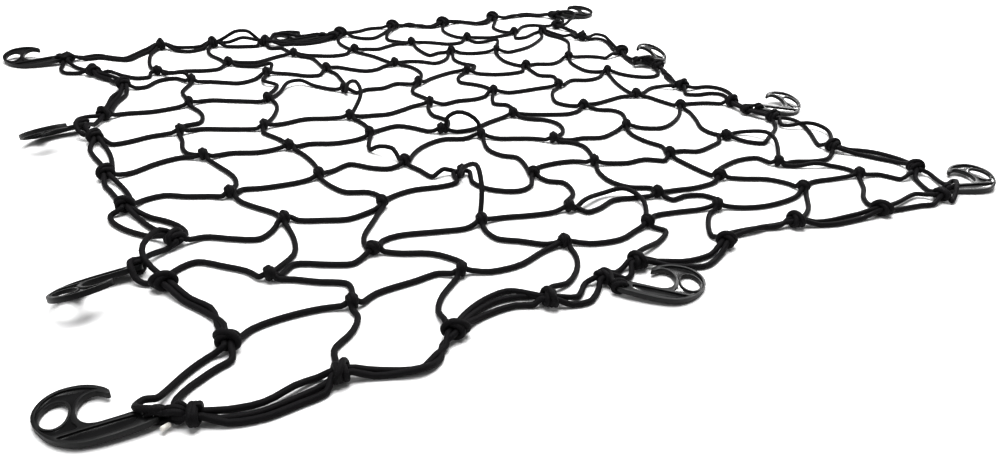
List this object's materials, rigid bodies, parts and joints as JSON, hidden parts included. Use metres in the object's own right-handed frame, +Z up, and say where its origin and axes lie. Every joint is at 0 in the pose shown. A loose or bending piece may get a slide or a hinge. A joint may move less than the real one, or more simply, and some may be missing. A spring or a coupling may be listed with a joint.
{
  "type": "elastic cargo net with hooks",
  "caption": "Knotted elastic cord cargo net lying slack, with a doubled edge cord and moulded plastic hooks tied around its rim.",
  "frame": {"origin": "centre of the laid-out net's bounding box, on the surface it lies on", "axes": "+Z up; +X across the net towards its right edge; +Y from its front edge to its back edge"},
  "size_m": [1.1599, 1.073, 0.0468],
  "materials": {
    "cord": "braided sheath over rubber core, dull black",
    "edge_cord": "doubled braided cord, dull black",
    "tie_cord": "braided cord, dull black",
    "hook": "moulded black plastic, semi-gloss"
  },
  "bodies": {
    "root": {"cross_cord_1": "cord", "cross_cord_2": "cord", "cross_cord_3": "cord", "cross_cord_4": "cord", "cross_cord_5": "cord", "cross_cord_6": "cord", "cross_cord_7": "cord", "cross_cord_8": "cord", "cross_cord_9": "cord", "long_cord_1": "cord", "long_cord_2": "cord", "long_cord_3": "cord", "long_cord_4": "cord", "long_cord_5": "cord", "long_cord_6": "cord", "long_cord_7": "cord", "front_edge": "edge_cord", "back_edge": "edge_cord", "left_edge": "edge_cord", "right_edge": "edge_cord", "hook_front_left": "hook", "hook_left_front": "hook", "hook_left_back": "hook", "hook_back_left": "hook", "hook_back_middle": "hook", "hook_back_right": "hook", "hook_right_back": "hook", "hook_right_front": "hook", "hook_front_right": "hook", "hook_front_middle": "hook", "tie_front_left": "tie_cord", "tie_left_front": "tie_cord", "tie_left_back": "tie_cord", "tie_back_left": "tie_cord", "tie_back_middle": "tie_cord", "tie_back_right": "tie_cord", "tie_right_back": "tie_cord", "tie_right_front": "tie_cord", "tie_front_right": "tie_cord", "tie_front_middle": "tie_cord"}
  },
  "joints": []
}
